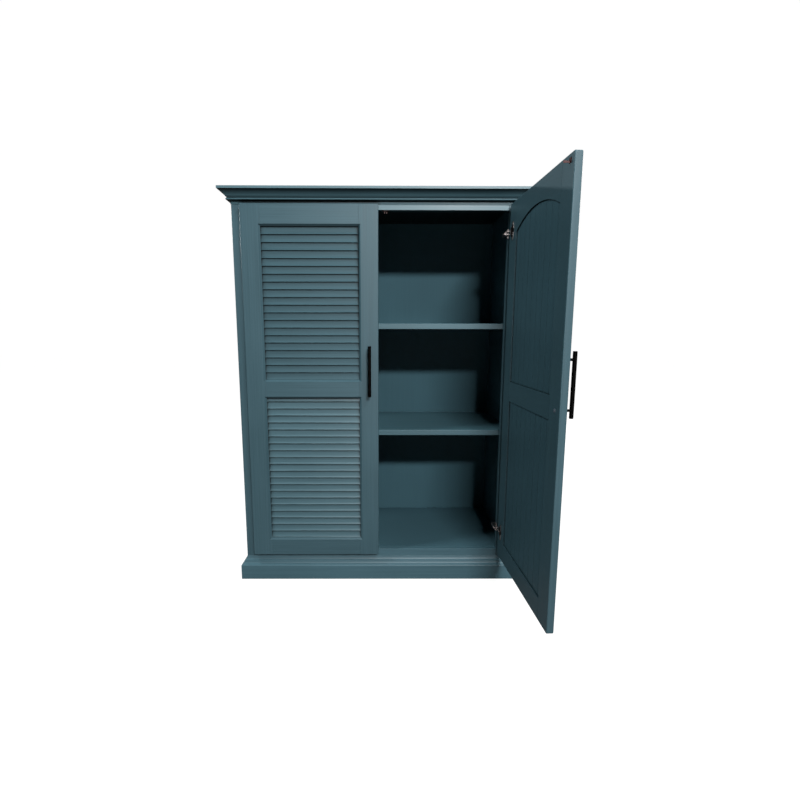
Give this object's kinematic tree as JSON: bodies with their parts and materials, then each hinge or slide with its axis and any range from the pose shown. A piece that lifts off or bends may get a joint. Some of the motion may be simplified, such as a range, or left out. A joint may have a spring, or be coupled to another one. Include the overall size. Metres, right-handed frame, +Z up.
{
  "type": "louvred door cabinet",
  "caption": "Tall painted cupboard with overlay louvred doors, beadboard inner faces, fixed shelves, crown moulding and moulded plinth.",
  "frame": {"origin": "on the floor, on the cabinet's centre line, on the underside of the front plinth board", "axes": "+Z up, +X to the right as seen from the front, +Y from the front to the back"},
  "size_m": [1.0284, 0.861, 1.3445],
  "materials": {
    "cabinet_paint": "satin dark teal paint over wood",
    "interior_paint": "satin dark teal paint over board",
    "black_metal": "satin black powder coat",
    "hinge_nickel": "nickel plated steel",
    "strike_bronze": "dark bronzed metal"
  },
  "bodies": {
    "cabinet": {"back_panel": "interior_paint", "floor_board": "interior_paint", "frame_bottom_rail": "cabinet_paint", "frame_top_rail": "cabinet_paint", "front_crown": "cabinet_paint", "front_plinth": "cabinet_paint", "left_crown": "cabinet_paint", "left_frame_stile": "cabinet_paint", "left_lower_hinge_arm": "hinge_nickel", "left_plinth": "cabinet_paint", "left_roller_catch": "hinge_nickel", "left_side": "cabinet_paint", "left_upper_hinge_arm": "hinge_nickel", "lower_shelf": "interior_paint", "rear_base_rail": "cabinet_paint", "right_crown": "cabinet_paint", "right_frame_stile": "cabinet_paint", "right_lower_hinge_arm": "hinge_nickel", "right_plinth": "cabinet_paint", "right_roller_catch": "hinge_nickel", "right_side": "cabinet_paint", "right_upper_hinge_arm": "hinge_nickel", "top_board": "cabinet_paint", "upper_shelf": "interior_paint"},
    "left_door": {"left_catch_strike": "strike_bronze", "left_door_bottom_rail": "cabinet_paint", "left_door_hinge_stile": "cabinet_paint", "left_door_latch_stile": "cabinet_paint", "left_door_lower_beadboard": "cabinet_paint", "left_door_lower_louvres": "cabinet_paint", "left_door_middle_rail": "cabinet_paint", "left_door_top_rail": "cabinet_paint", "left_door_upper_beadboard": "cabinet_paint", "left_door_upper_louvres": "cabinet_paint", "left_handle_bar": "black_metal", "left_handle_lower_post": "black_metal", "left_handle_upper_post": "black_metal", "left_lower_hinge_cup": "hinge_nickel", "left_upper_hinge_cup": "hinge_nickel"},
    "right_door": {"right_catch_strike": "strike_bronze", "right_door_bottom_rail": "cabinet_paint", "right_door_hinge_stile": "cabinet_paint", "right_door_latch_stile": "cabinet_paint", "right_door_lower_beadboard": "cabinet_paint", "right_door_lower_louvres": "cabinet_paint", "right_door_middle_rail": "cabinet_paint", "right_door_top_rail": "cabinet_paint", "right_door_upper_beadboard": "cabinet_paint", "right_door_upper_louvres": "cabinet_paint", "right_handle_bar": "black_metal", "right_handle_lower_post": "black_metal", "right_handle_upper_post": "black_metal", "right_lower_hinge_cup": "hinge_nickel", "right_upper_hinge_cup": "hinge_nickel"}
  },
  "joints": [
    {"name": "left_door_hinge", "type": "hinge", "parent": "cabinet", "child": "left_door", "pos_m": [-0.4434, -0.00975, 0.695], "axis": [0, 0, 1], "range_deg": [-110, 0]},
    {"name": "right_door_hinge", "type": "hinge", "parent": "cabinet", "child": "right_door", "pos_m": [0.4434, -0.00975, 0.695], "axis": [0, 0, 1], "range_deg": [-93, 17]}
  ]
}
